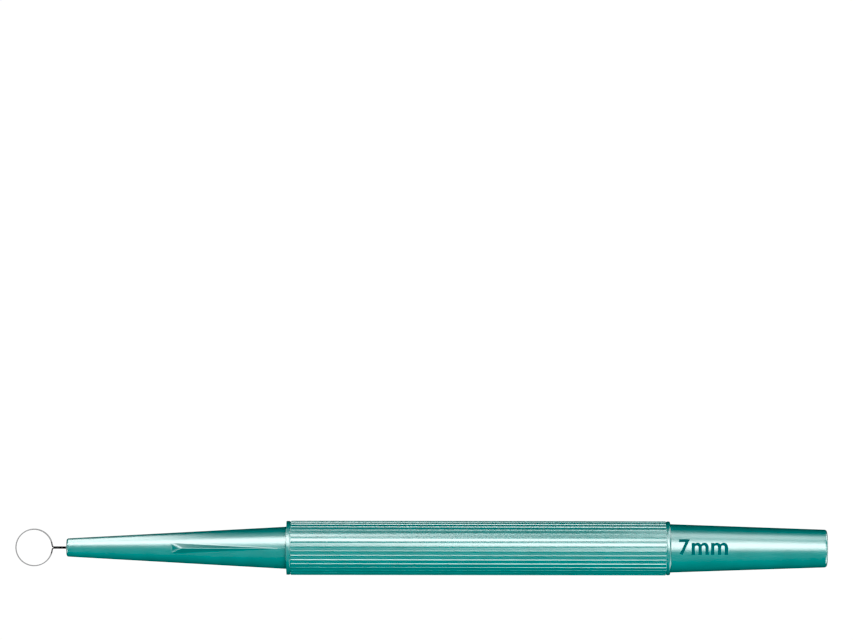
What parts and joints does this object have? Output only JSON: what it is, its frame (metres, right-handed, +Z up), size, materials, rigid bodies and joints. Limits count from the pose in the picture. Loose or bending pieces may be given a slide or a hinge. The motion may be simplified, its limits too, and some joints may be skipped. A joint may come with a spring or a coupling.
{
  "type": "dermal curette",
  "caption": "Disposable ring curette: a steel strip bent into a bevelled cutting ring, seated in a moulded handle with tapered nose, orientation rib, ribbed grip and tapered tail.",
  "frame": {"origin": "under the middle of the overall length, on the surface that the lowest ribs of the grip rest on", "axes": "+X along the handle from the ring to the tail; +Z up, through the orientation rib; +Y to the side"},
  "size_m": [0.151, 0.01, 0.0101],
  "materials": {
    "handle_plastic": "satin moulded",
    "blade_steel": "ground and polished"
  },
  "bodies": {
    "root": {"handle": "handle_plastic", "ring_blade": "blade_steel"}
  },
  "joints": []
}
